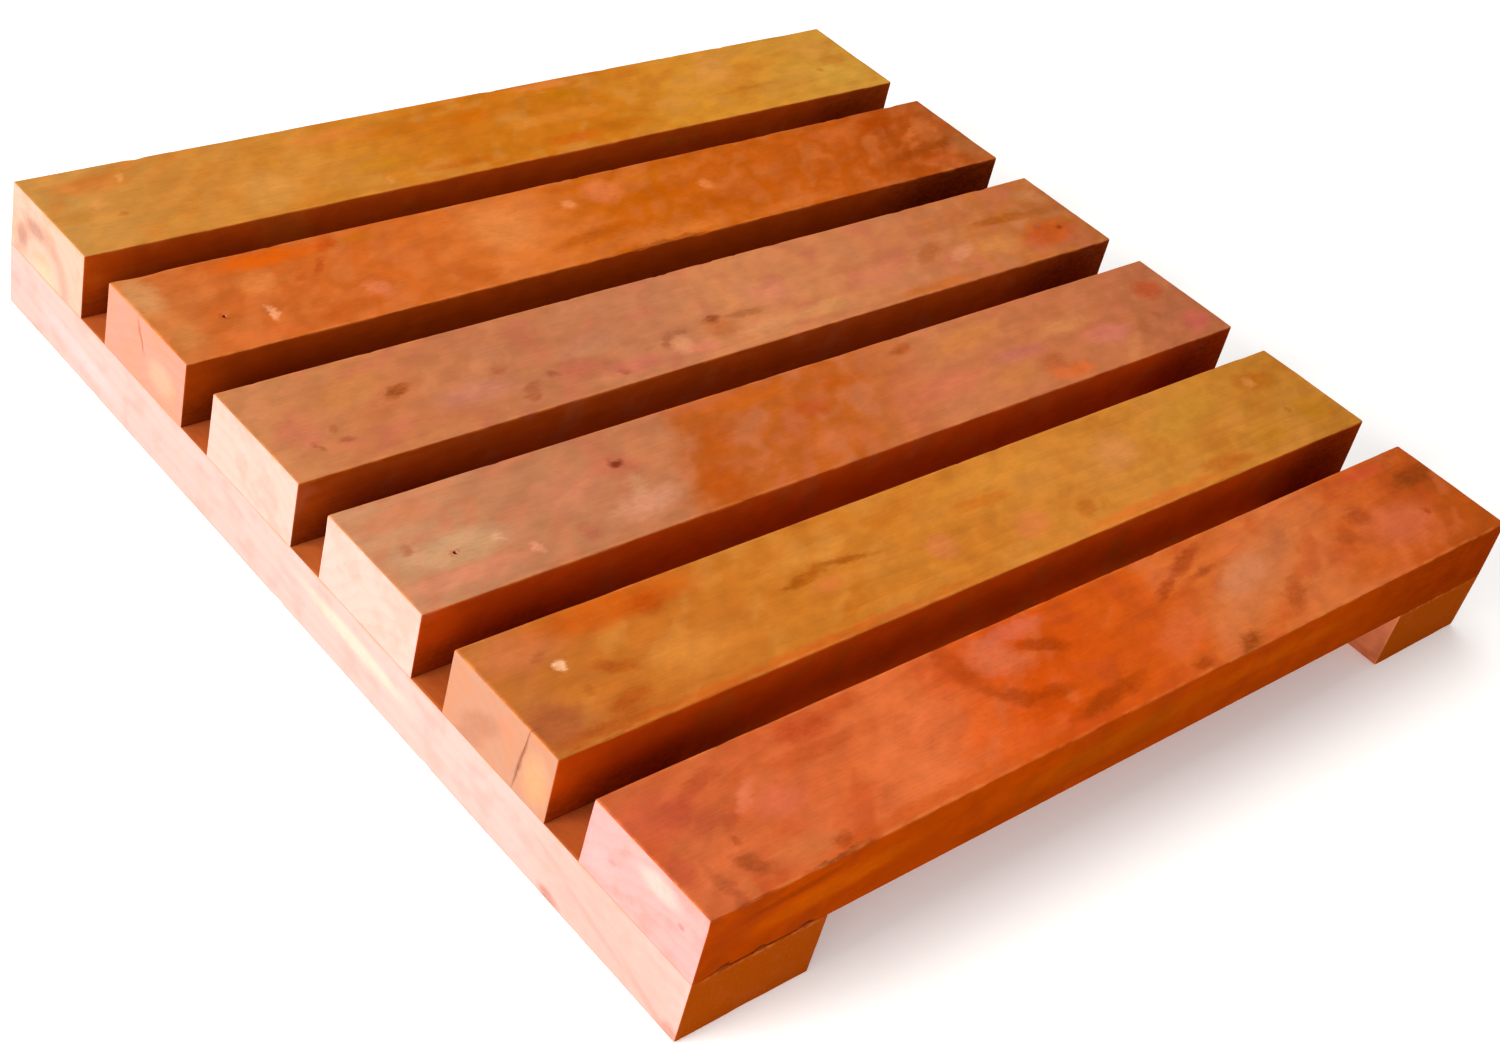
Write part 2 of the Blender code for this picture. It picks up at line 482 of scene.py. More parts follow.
class WoodNodes(Nodes):
    """The nodes of one board's wood. Lengths are in millimetres from the board's middle."""

    def __init__(self, name, board, wood):
        super().__init__(name)
        self.wood = wood
        self.length, self.width, self.height = (side / MM for side in board.size)
        self.local = self.vector("SCALE", self.coords("Object"))
        self.local.node.inputs["Scale"].default_value = 1 / MM
        shift = (board.seed * 37.0 % 500, board.seed * 91.0 % 700, board.seed * 53.0 % 600)
        self.moved = self.vector("ADD", self.local, shift)
        self.x, self.y, self.z = self.xyz(self.local)
        self.normal = self.xyz(self.coords("Normal"))
        self.facing_end = self.step(self.math("ABSOLUTE", self.normal[0]), 0.6, 0.8)
        self.add_clouds()
        self.add_grain()
        self.add_tears()

    def pattern(self, size, source=None, **settings):
        """Noise with lumps of a size in mm along the grain, across it and up."""
        source = self.moved if source is None else source
        return self.noise(self.vector("MULTIPLY", source, [1 / side for side in size]), **settings)

    def add_clouds(self):
        """Clouds, pale patches and mottling, which slant across the board."""
        slant = self.joined(self.times(self.y, -SLANT), 0.0, 0.0)
        slanted = self.vector("ADD", self.moved, slant)
        patch = self.pattern(CLOUD, slanted, detail=3.0)
        self.cloud = self.step(patch, 0.5, 0.68, 0.0, self.wood.cloud_share)
        self.bloom = self.step(patch, 0.34, 0.5, BLOOM_SHARE, 0.0)
        self.mottle = self.pattern(MOTTLE, slanted)

    def add_grain(self):
        """Fibres, pores, and growth rings that darken slowly and end sharply about a leaning pith."""
        wood = self.wood
        warp = self.minus(self.pattern(WARP, detail=3.0, roughness=0.55), 0.5)
        across = self.minus(self.y, wood.pith[0])
        across = self.minus(across, self.times(self.x, wood.lean * 0.6))
        upward = self.minus(self.z, wood.pith[1])
        upward = self.minus(upward, self.times(self.x, wood.lean))
        radius = self.vector("LENGTH", self.joined(0.0, across, upward), output="Value")
        radius = self.plus(radius, self.times(warp, RING_WARP))
        share = self.math("FRACT", self.math("DIVIDE", radius, wood.ring))
        self.rings = self.times(self.step(share, 0.25, 0.9), self.step(share, 0.93, 1.0, 1.0, 0.0))
        patchy = self.step(self.pattern(PATCHY), 0.38, 0.62, 0.25, 1.0)
        self.streak = self.times(self.times(self.rings, patchy), wood.streak_share)
        self.fibre = self.pattern(FIBRE, detail=3.0, roughness=0.65)
        self.fine = self.pattern(FINE_FIBRE, roughness=0.6)
        self.pore = self.step(self.pattern(PORE, detail=1.0, roughness=0.4), 0.665, 0.74)
        self.speck = self.noise(self.vector("MULTIPLY", self.moved, (0.3, 3.2, 3.2)), roughness=0.7)

    def add_tears(self):
        """What tears the marks' edges and breaks them up inside."""
        ragged = self.pattern(RAGGED, detail=5.0, roughness=0.7, output="Color")
        self.ragged = self.vector("MULTIPLY", self.vector("SUBTRACT", ragged, (0.5, 0.5, 0.5)), TEAR)
        self.broken = self.step(self.pattern(BROKEN, detail=4.0, roughness=0.7), 0.35, 0.62, 0.7, 1.0)

    def torn(self, place, share):
        """A place on a face, moved so that the marks drawn there get torn edges."""
        return self.vector("ADD", place, self.vector("MULTIPLY", self.ragged, share))

    def top_colour(self):
        """Soft colour along the board, wandering and slanting across it, with clouds, grain and marks."""
        wood = self.wood
        wander = self.minus(self.pattern(WANDER, detail=4.0, roughness=0.6), 0.5)
        place = self.plus(self.x, self.times(wander, 4 * wood.wobble))
        place = self.plus(place, self.times(self.y, wood.drift))
        place = self.plus(self.math("DIVIDE", place, self.length), 0.5)
        colour = self.ramp(place, [(at / self.length, shade) for at, shade in wood.along])
        colour = self.mix(self.cloud, colour, wood.cloud)
        colour = self.mix(self.bloom, colour, wood.bloom)
        colour = self.mix(self.streak, colour, wood.streak)
        torn = self.vector("ADD", self.local, self.ragged)
        return self.marked(colour, wood.marks, torn, (-self.length / 2, self.width / 2), self.broken)

    def marked_side(self, colour, marks, mask):
        """A long side's colour with its marks."""
        torn = self.torn(self.joined(self.x, self.z, 0.0), (0.5, 0.25, 0.0))
        return self.marked(colour, marks, torn, (-self.length / 2, self.height / 2), mask)

    def side_colour(self):
        """The long sides: deeper than the top as painted shade on the slats, lighter as painted light on
        the bearers, darker low down, with marks and painted shade on the front.
        """
        wood = self.wood
        clouded = self.step(self.cloud, 0.0, wood.cloud_share, 0.0, SIDE_CLOUDS)
        colour = self.mix(clouded, wood.side, wood.streak)
        colour = self.mix(self.streak, colour, wood.streak)
        # Darker towards the bottom of the sides.
        low = self.step(self.z, -0.5 * self.height, 0.3 * self.height, LOW_SIDE_SHARE, 0.0)
        colour = self.mix(low, colour, LOW_SIDE_TONE)
        # On the front: painted shade in the gaps of slats 1 to 5, marks on slat 6.
        on_front = self.times(self.step(self.normal[1], -0.6, -0.3, 1.0, 0.0), self.broken)
        return self.marked_side(colour, wood.front_marks_and_shade, on_front)

    def pale_colour(self):
        """The side at +y, where it is paler than the other, partly as a painted highlight."""
        wood = self.wood
        colour = self.mix(self.times(self.rings, 0.04), wood.pale_side_and_highlight, wood.streak)
        colour = self.mix(self.step(self.mottle, 0.45, 0.75, 0.0, 0.16), colour, wood.cloud)
        return self.marked_side(colour, wood.pale_marks, self.broken)

    def end_colour(self):
        """End grain: the rings as faint arcs, specks where pores are cut through, marks on the left end."""
        wood = self.wood
        colour = self.mix(self.times(self.rings, 0.06), wood.end, wood.streak)
        blotch = self.step(self.pattern(END_BLOTCH, detail=3.0), 0.45, 0.7, 0.0, 0.2)
        colour = self.mix(blotch, colour, wood.cloud)
        colour = self.mix(self.step(self.speck, 0.56, 0.72, 0.0, 0.2), colour, wood.side)
        place = self.joined(self.times(self.y, -1.0), self.z, 0.0)
        torn = self.torn(place, (0.25, 0.25, 0.0))
        on_left = self.times(self.step(self.normal[0], -0.8, -0.5, 1.0, 0.0), self.broken)
        return self.marked(colour, wood.end_marks, torn, (-self.width / 2, self.height / 2), on_left)

    def grained(self, colour):
        """The colour with its fibres, mottling and pores."""
        fibres = self.step(self.fibre, 0.25, 0.75, *FIBRE_TONES)
        lightness = self.plus(fibres, self.step(self.fine, 0.3, 0.7, -0.02, 0.02))
        lightness = self.plus(lightness, self.step(self.mottle, 0.3, 0.7, -0.06, 0.06))
        colour = self.mix(1.0, colour, self.joined(lightness, lightness, lightness), "MULTIPLY")
        return self.mix(self.times(self.pore, PORE_SHARE), colour, self.wood.streak)

    def worn(self, colour):
        """The colour with patches of wear and painted highlight along the top's arrises, and painted shade
        on the walls of holes and checks.
        """
        long, wide, high = self.length / 2, self.width / 2, self.height / 2
        from_x, from_y, from_z = (self.math("ABSOLUTE", side) for side in (self.x, self.y, self.z))
        near_side = self.step(from_y, wide - EDGE_BAND, wide - 0.4)
        near_end = self.step(from_x, long - EDGE_BAND, long - 0.4)
        near_top = self.step(self.z, high - EDGE_BAND, high - 0.3)
        # Wear and painted highlight in patches along the top's arrises.
        wear_and_highlight = self.times(self.math("MAXIMUM", near_side, near_end), near_top)
        patches = self.step(self.pattern(WEAR_AND_HIGHLIGHT_PATCH, detail=3.0), 0.4, 0.65, 0.0, WEAR_AND_HIGHLIGHT_SHARE)
        colour = self.mix(self.times(wear_and_highlight, patches), colour, WEAR_AND_HIGHLIGHT)
        depth = self.minus(long, from_x)
        for half, distance in ((wide, from_y), (high, from_z)):
            depth = self.math("MINIMUM", depth, self.minus(half, distance))
        # Painted shade where the surface lies more than half a millimetre in: the walls of holes, checks
        # and deep chips.
        return self.mix(self.step(depth, 0.5, 1.1), colour, RECESS_SHADE)

    def roughness(self):
        """Rougher in the pores, on the ends and where the clouds are."""
        fibres = self.step(self.fibre, 0.2, 0.8, *FIBRE_DULLNESS)
        rough = self.plus(fibres, self.times(self.cloud, 0.10))
        rough = self.plus(rough, self.times(self.pore, 0.25))
        return self.math("ADD", rough, self.times(self.facing_end, 0.22), clamp=True)

    def relief(self):
        """Fibres, pores and rings standing out of the long faces, and saw marks on the ends."""
        relief = self.plus(self.times(self.fibre, 0.5), self.times(self.fine, 0.2))
        relief = self.minus(relief, self.times(self.pore, 0.6))
        relief = self.plus(relief, self.times(self.rings, 0.25))
        sawn = self.vector("MULTIPLY", self.moved, (0.0, 1.4, 0.25))
        sawn = self.noise(sawn, detail=3.0, roughness=0.7)
        sawn = self.plus(self.times(self.speck, 0.9), self.times(sawn, 1.1))
        inputs = {0: self.facing_end, 2: relief, 3: sawn}
        relief = self.add("ShaderNodeMix", inputs, data_type="FLOAT").outputs[0]
        bump = self.add("ShaderNodeBump", {**RELIEF, "Height": relief})
        return bump.outputs["Normal"]


def wood_material(name, board, wood):
    """Wood with clouded colour, growth rings, fibres, pores, marks, end grain and relief."""
    n = WoodNodes(name, board, wood)
    # The sides and the underside take the side colour: painted shade on the slats, painted light on the
    # bearers.
    colour = n.mix(n.step(n.normal[2], 0.3, 0.7), n.side_colour(), n.top_colour())
    underside = n.step(n.normal[2], -0.7, -0.3, 1.0, 0.0)
    colour = n.mix(underside, colour, n.mix(n.streak, wood.side, wood.streak))
    colour = n.grained(colour)
    if wood.pale_side_and_highlight:
        colour = n.mix(n.step(n.normal[1], 0.3, 0.6), colour, n.pale_colour())
    colour = n.mix(n.facing_end, colour, n.end_colour())
    n.put(n.shader.inputs["Base Color"], n.worn(colour))
    n.put(n.shader.inputs["Roughness"], n.roughness())
    n.put(n.shader.inputs["Normal"], n.relief())
    n.shader.inputs["Specular IOR Level"].default_value = WOOD_SHEEN
    return n.material


def nail_material():
    """Dull steel, darkened where it has met water."""
    n = Nodes("nail_steel")
    spots = n.noise(n.coords("Object"), scale=900.0, detail=4.0, roughness=0.65)
    steel = [(0.35, (84, 46, 28)), (0.55, (112, 70, 48)), (0.75, (138, 108, 88))]
    n.put(n.shader.inputs["Base Color"], n.ramp(spots, steel))
    n.put(n.shader.inputs["Roughness"], n.step(spots, 0.3, 0.7, 0.7, 0.5))
    n.shader.inputs["Metallic"].default_value = 0.3
    bump = n.add("ShaderNodeBump", {"Strength": 0.4, "Distance": 0.05 * MM, "Height": spots})
    n.put(n.shader.inputs["Normal"], bump.outputs["Normal"])
    return n.material


def floor_material():
    """Pale matt paper, lit a little from behind so that shadows on it stay light."""
    n = Nodes("studio_floor")
    n.shader.inputs["Base Color"].default_value = FLOOR_COLOUR
    n.shader.inputs["Emission Color"].default_value = FLOOR_COLOUR
    n.shader.inputs["Emission Strength"].default_value = FLOOR_GLOW
    n.shader.inputs["Roughness"].default_value = 0.9
    n.shader.inputs["Specular IOR Level"].default_value = 0.1
    return n.material


# ---------------------------------------------------------------- what each board looks like

GAP_CORNER_SHADE = (30, 24, 70, 16, 0, (70, 20, 3), 0.6)  # painted shade in the low corner of a gap, at its left

SLAT_1 = Wood(
    along=[
        (0, (189, 134, 66)), (60, (198, 130, 53)), (120, (201, 126, 40)), (165, (200, 114, 24)),
        (225, (200, 114, 22)), (290, (212, 140, 44)), (380, (206, 148, 56)),
    ],
    cloud=(196, 108, 32), cloud_share=0.4, bloom=(206, 138, 62),
    streak=(176, 94, 26), streak_share=0.15, side=(180, 68, 8), end=(192, 154, 137),
    pith=(3, -20), lean=0.035, ring=5.5,
    marks=[
        (22, 11, 20, 8, 0, (206, 112, 46), 0.6), (35, 10, 1.8, 4.2, -30, (232, 158, 90), 0.6),
        (20, 23, 3, 4.5, -30, (228, 154, 84), 0.5), (8, 29, 11, 5, 0, (188, 116, 36), 0.55),
        (62, 18, 12, 3, 40, (188, 112, 36), 0.5), (80, 34, 18, 15, 45, (214, 148, 72), 0.6),
        (52, 30, 12, 3, 30, (190, 112, 34), 0.45), (122, 10, 26, 7, 0, (220, 126, 54), 0.55),
        (128, 33, 20, 6, 3, (202, 130, 22), 0.55), (150, 14, 26, 5, 3, (190, 100, 12), 0.6),
        (182, 15, 16, 7, 0, (206, 100, 2), 0.65), (158, 43, 20, 4, 0, (186, 86, 4), 0.7),
        (126, 43, 2, 5.5, -30, (228, 148, 74), 0.5), (202, 14, 14, 7, 0, (192, 104, 4), 0.5),
        (228, 12, 15, 6, 0, (192, 116, 6), 0.65), (225, 3.5, 26, 3.4, 0, (226, 132, 66), 0.6),
        (218, 26, 34, 6, 0, (220, 134, 50), 0.5), (212, 42, 20, 5, 0, (204, 92, 14), 0.75),
        (240, 39, 20, 6, 0, (188, 98, 4), 0.6), (305, 16, 18, 13, 45, (218, 146, 74), 0.6),
        (310, 33, 26, 2.6, 2, (188, 104, 24), 0.5), (362, 36, 22, 12, 0, (212, 160, 62), 0.55),
        (366, 14, 14, 9, 20, (220, 152, 70), 0.45),
    ],
    end_marks=[
        (22, 27, 17, 18, 0, (160, 120, 104), 0.6, 0.3), (8, 17, 5, 7, 30, (142, 100, 88), 0.55),
        (16, 9.5, 12, 4, -8, (146, 104, 90), 0.55), (24, 27, 11, 12, 0, (212, 170, 138), 0.6),
    ],
    # Painted shade in the gap: darker towards the right end and in the low left corner.
    front_marks_and_shade=[(374, 13, 60, 30, 0, (104, 38, 6), 0.7), GAP_CORNER_SHADE],
)
SLAT_2 = Wood(
    along=[
        (0, (194, 112, 56)), (30, (192, 96, 38)), (95, (200, 98, 34)), (150, (210, 112, 44)),
        (195, (197, 97, 14)), (290, (194, 90, 18)), (350, (176, 76, 16)), (380, (172, 88, 38)),
    ],
    cloud=(218, 124, 66), cloud_share=0.32, bloom=(210, 116, 58),
    streak=(170, 70, 16), streak_share=0.16, side=(162, 62, 5), end=(193, 127, 110),
    pith=(-14, -46), lean=0.07, ring=4.6,
    marks=[
        (5, 12, 10, 15, 0, (206, 146, 92), 0.75), (8, 36, 8, 12, -20, (206, 134, 72), 0.5),
        (56, 6, 30, 7, 0, (214, 90, 2), 0.9), (45, 18, 11, 8, 20, (222, 132, 66), 0.65),
        (70, 17, 8, 2.6, 45, (172, 70, 20), 0.7), (60, 21, 5, 2.2, 35, (176, 74, 24), 0.5),
        (79, 6, 8, 4, 25, (194, 68, 10), 0.7), (40.5, 35, 2.4, 6, -8, (240, 162, 112), 0.85),
        (82, 36, 7, 8, 0, (226, 126, 84), 0.65), (93, 6, 11, 4, 0, (196, 106, 14), 0.65),
        (30, 45, 30, 5, 0, (212, 106, 48), 0.5), (70, 42, 24, 5, 6, (186, 84, 20), 0.5),
        (120, 43, 11, 7, 0, (194, 88, 18), 0.6), (146, 20, 22, 20, 60, (224, 136, 70), 0.7),
        (132, 44, 12, 8, 50, (222, 126, 62), 0.5), (174, 36, 28, 4.5, 9, (176, 80, 8), 0.7),
        (179, 15, 5, 4.4, 10, (236, 146, 88), 0.7), (178, 4, 9, 4, 0, (198, 90, 2), 0.65),
        (197, 12, 12, 10, 25, (228, 124, 72), 0.75), (218, 20, 22, 8, 8, (184, 86, 2), 0.7),
        (220, 9, 15, 5, 0, (204, 110, 18), 0.55), (241, 22, 3.8, 4.8, -25, (228, 130, 66), 0.75),
        (210, 45, 30, 6, 0, (220, 124, 54), 0.65), (252, 32, 40, 8, 5, (184, 80, 6), 0.5),
        (300, 30, 24, 8, 0, (178, 76, 2), 0.55), (270, 46, 40, 4, 0, (214, 114, 48), 0.5),
        (322, 12, 16, 8, 20, (210, 100, 34), 0.5), (343, 10, 15, 8, 10, (174, 66, 2), 0.7),
        (358, 20, 14, 3.4, 28, (220, 118, 58), 0.6), (352, 33, 30, 4.6, 7, (146, 60, 2), 0.75),
        (352, 43, 15, 5, 0, (206, 102, 50), 0.55), (375, 38, 9, 12, 0, (170, 104, 56), 0.6),
        # This mark is painted shade along the chipped front arris.
        (201, 49, 22, 1.6, 0, (134, 54, 10), 0.6),
    ],
    end_marks=[
        # The first mark is painted shade along the drying check.
        (22, 7, 0.9, 9, 30, (150, 88, 66), 0.8), (36, 15, 12, 8, 0, (214, 156, 126), 0.5),
        (14, 16, 12, 3, -20, (186, 122, 100), 0.45),
    ],
    # Painted shade in the gap: darker towards the right end and in the low left corner.
    front_marks_and_shade=[(370, 13, 80, 30, 0, (86, 26, 6), 0.9), GAP_CORNER_SHADE],
)
# Its pinkish tones are partly painted reflection, the haze of a bright room on its oiled top.
SLAT_3 = Wood(
    along=[
        (0, (192, 124, 76)), (40, (192, 116, 70)), (110, (186, 114, 74)), (160, (192, 120, 80)),
        (205, (206, 130, 80)), (290, (200, 120, 74)), (345, (196, 112, 54)), (380, (180, 102, 48)),
    ],
    cloud=(198, 104, 80), cloud_share=0.5, bloom=(202, 128, 86),
    streak=(166, 88, 54), streak_share=0.14, side=(168, 66, 6), end=(197, 158, 147),
    pith=(20, -62), lean=0.05, ring=5.0,
    marks=[
        (40, 16, 19, 9, 20, (204, 130, 62), 0.45), (50, 25, 22, 7, 22, (184, 94, 48), 0.5),
        (54, 22.6, 7.5, 3.4, 22, (142, 66, 18), 0.85), (14, 30, 14, 9, 0, (198, 106, 80), 0.5),
        (16, 37, 1.8, 4, 30, (148, 74, 42), 0.55), (26, 37, 4.5, 2.6, 0, (146, 74, 40), 0.7),
        (78, 33, 22, 8, 0, (196, 124, 100), 0.65), (92, 26, 4.5, 2.6, 10, (166, 84, 52), 0.6),
        (97, 38, 6, 3.6, 35, (158, 80, 48), 0.65), (108, 35, 4.5, 3, 0, (136, 74, 48), 0.7),
        (94, 42.5, 4.5, 2.6, 0, (160, 78, 42), 0.6), (120, 36, 17, 7, 0, (182, 94, 70), 0.6),
        (138, 42, 18, 6, 0, (208, 108, 90), 0.6), (132, 43.5, 3.4, 2.4, 0, (160, 68, 44), 0.55),
        (130, 26, 20, 8, 10, (194, 130, 94), 0.6), (158, 35, 8, 2.6, 48, (150, 80, 52), 0.65),
        (162, 39, 9, 5, 48, (222, 150, 106), 0.65), (166, 32, 5, 2.6, 0, (156, 88, 60), 0.55),
        (168, 43, 10, 4.6, 0, (222, 122, 96), 0.6), (182, 36, 10, 8, 0, (188, 96, 44), 0.6),
        (182, 31, 6, 3, 6, (136, 64, 24), 0.85), (196, 32, 14, 2.4, -4, (160, 84, 40), 0.55),
        (198, 42, 20, 5, 0, (216, 144, 94), 0.65), (226, 41, 20, 5, 4, (212, 148, 88), 0.65),
        (214, 25, 18, 10, 0, (212, 128, 96), 0.6), (265, 32, 20, 8, 10, (212, 122, 90), 0.6),
        (282, 47, 30, 4, 0, (200, 100, 24), 0.7), (296, 28, 14, 5, 32, (172, 84, 36), 0.65),
        (316, 14, 22, 8, 10, (186, 100, 50), 0.55), (310, 33, 13, 5, 25, (226, 146, 104), 0.75),
        (328, 34, 18, 9, 0, (216, 138, 74), 0.6), (346, 21, 28, 4, -3, (168, 82, 8), 0.75),
        (357, 36, 22, 11, 10, (202, 84, 20), 0.85), (364, 35, 3, 2.2, 30, (140, 54, 12), 0.7),
        (370, 12, 12, 7, -20, (206, 140, 90), 0.5),
    ],
    # Painted shade in the gap: darker towards the right end and in the low left corner.
    front_marks_and_shade=[(370, 13, 60, 30, 0, (100, 30, 6), 0.85), GAP_CORNER_SHADE],
)
# Its pinkish tones are partly painted reflection, the haze of a bright room on its oiled top.
SLAT_4 = Wood(
    along=[
        (0, (192, 136, 98)), (60, (184, 120, 82)), (112, (186, 116, 76)), (124, (184, 92, 34)),
        (190, (190, 94, 32)), (212, (194, 106, 54)), (245, (200, 120, 74)), (320, (196, 114, 70)),
        (380, (180, 104, 66)),
    ],
    cloud=(204, 110, 78), cloud_share=0.36, bloom=(202, 120, 80),
    streak=(168, 84, 42), streak_share=0.14, side=(190, 67, 5), end=(197, 159, 149),
    pith=(-26, -40), lean=0.04, ring=5.2,
    marks=[
        (26, 29, 30, 10, 0, (200, 156, 114), 0.75), (22, 41, 30, 6, 0, (214, 132, 100), 0.65),
        (18, 10, 26, 7, 0, (208, 122, 80), 0.55), (12, 24, 3.6, 2.4, 35, (160, 86, 60), 0.6),
        (41, 31, 2.8, 3.4, 0, (228, 164, 124), 0.65), (49, 40, 3.6, 3.4, 0, (232, 152, 116), 0.75),
        (69, 41, 6, 6, 35, (168, 92, 64), 0.55), (74, 22, 20, 12, 20, (206, 128, 94), 0.5),
        (98, 18, 13, 8, 0, (194, 96, 72), 0.6), (97.5, 16.4, 4.8, 2.8, 12, (118, 44, 20), 0.95),
        (94, 37, 20, 9, 10, (218, 150, 116), 0.7), (97, 28, 5, 9, -20, (216, 156, 112), 0.45),
        (112, 14, 14, 10, 0, (206, 126, 80), 0.5), (124, 40, 12, 15, -30, (184, 78, 8), 0.75),
        (137, 21, 18, 8, 35, (186, 82, 8), 0.7), (162, 7, 34, 6, 0, (202, 96, 16), 0.6),
        (142, 37, 8, 6, 30, (214, 112, 62), 0.55), (176, 38, 16, 8, 20, (216, 116, 66), 0.65),
        (180, 21, 11, 6, 0, (190, 76, 36), 0.55), (202, 13, 15, 6, 0, (184, 80, 8), 0.65),
        (237, 7, 8, 3.6, 10, (162, 66, 12), 0.65), (266, 12, 28, 8, 10, (210, 130, 64), 0.65),
        (238, 31, 30, 9, 5, (212, 112, 80), 0.65), (280, 27, 19, 5, -4, (194, 104, 92), 0.7),
        (268, 38, 17, 7, 10, (208, 128, 62), 0.6), (292, 44, 16, 6, 0, (222, 102, 40), 0.7),
        (288, 37, 11, 6, 20, (178, 84, 38), 0.6), (310, 21, 20, 6, 5, (216, 138, 80), 0.7),
        (325, 32, 17, 8, 0, (216, 120, 102), 0.7), (344, 34, 5, 9, -45, (160, 86, 48), 0.6),
        (328, 43, 16, 4, 35, (214, 134, 80), 0.55), (365, 17, 11, 9, 10, (190, 74, 32), 0.7),
        (368, 40, 12, 7, 20, (208, 94, 86), 0.65),
    ],
    # Painted shade in the gap: darker towards the right end and in the low left corner.
    front_marks_and_shade=[(372, 13, 50, 30, 0, (116, 34, 6), 0.8), GAP_CORNER_SHADE],
    drift=-0.5, wobble=6.0,
)
SLAT_5 = Wood(
    along=[
        (0, (182, 104, 48)), (50, (192, 108, 37)), (110, (198, 117, 38)), (170, (204, 124, 42)),
        (240, (208, 132, 50)), (310, (204, 132, 48)), (380, (190, 122, 42)),
    ],
    cloud=(184, 104, 34), cloud_share=0.4, bloom=(206, 134, 58),
    streak=(166, 86, 24), streak_share=0.15, side=(200, 70, 5), end=(165, 120, 97),
    pith=(36, -30), lean=0.06, ring=4.8,
    marks=[
        (52, 6, 46, 10, 0, (200, 82, 6), 0.75), (64, 9, 9, 7, 10, (176, 64, 6), 0.65),
        (14, 10, 22, 11, 0, (202, 112, 66), 0.6), (23.5, 20, 3.6, 3.4, 35, (246, 188, 140), 0.9),
        (19, 14, 5, 3, 35, (160, 84, 44), 0.6), (38, 27, 11, 4, -20, (164, 72, 18), 0.65),
        (33, 40, 12, 5, 10, (166, 64, 8), 0.65), (8, 39, 16, 11, 0, (160, 80, 48), 0.75),
        (22, 46, 30, 4, 0, (162, 68, 16), 0.65), (20, 29, 5, 9, -25, (196, 112, 36), 0.5),
        (64, 33, 26, 13, 10, (212, 132, 54), 0.6), (116, 22.4, 19, 2.8, 9, (164, 76, 4), 0.75),
        (136, 21.6, 16, 2.2, -9, (160, 74, 6), 0.75), (128, 14, 34, 5, 5, (216, 138, 56), 0.6),
        (122, 28, 9, 5, 0, (220, 118, 62), 0.5), (124, 38, 18, 3.4, 32, (186, 100, 22), 0.55),
        (170, 31, 9, 8, 20, (220, 126, 76), 0.6), (165, 10, 18, 6, 10, (196, 104, 20), 0.5),
        (100, 48, 100, 3, 0, (200, 82, 26), 0.6), (214, 10, 36, 6, 0, (220, 144, 52), 0.6),
        (200, 19.5, 20, 3, -3, (194, 100, 22), 0.6), (208, 36, 13, 8, 20, (222, 124, 70), 0.65),
        (233, 38, 9, 5, 40, (186, 92, 24), 0.65), (268, 20, 18, 11, 30, (214, 138, 76), 0.7),
        (262, 47, 60, 3.4, 0, (224, 106, 40), 0.6), (305, 43, 18, 4.4, -5, (184, 86, 24), 0.65),
        (312, 16, 28, 12, 10, (200, 140, 48), 0.55), (336, 40, 15, 7, 10, (190, 120, 22), 0.6),
        (357, 13, 15, 8, -10, (184, 96, 16), 0.7), (354, 13, 5, 4.4, 0, (228, 148, 76), 0.7),
        (366, 34, 14, 10, 0, (190, 122, 16), 0.55),
    ],
    end_marks=[
        (17, 15, 15, 6, 35, (148, 98, 74), 0.65), (13, 23, 10, 4, 20, (152, 102, 80), 0.65),
        # The mark at 35.6 across is painted shade along the drying check.
        (28, 8, 8, 5, 0, (176, 112, 84), 0.5), (35.6, 13, 1.1, 16, -6, (110, 62, 40), 0.6),
        (43, 14, 8, 12, 0, (192, 142, 100), 0.6),
    ],
    # Painted shade in the gap: darker towards the right end and in the low left corner.
    front_marks_and_shade=[(372, 13, 60, 30, 0, (110, 34, 6), 0.8), GAP_CORNER_SHADE],
)
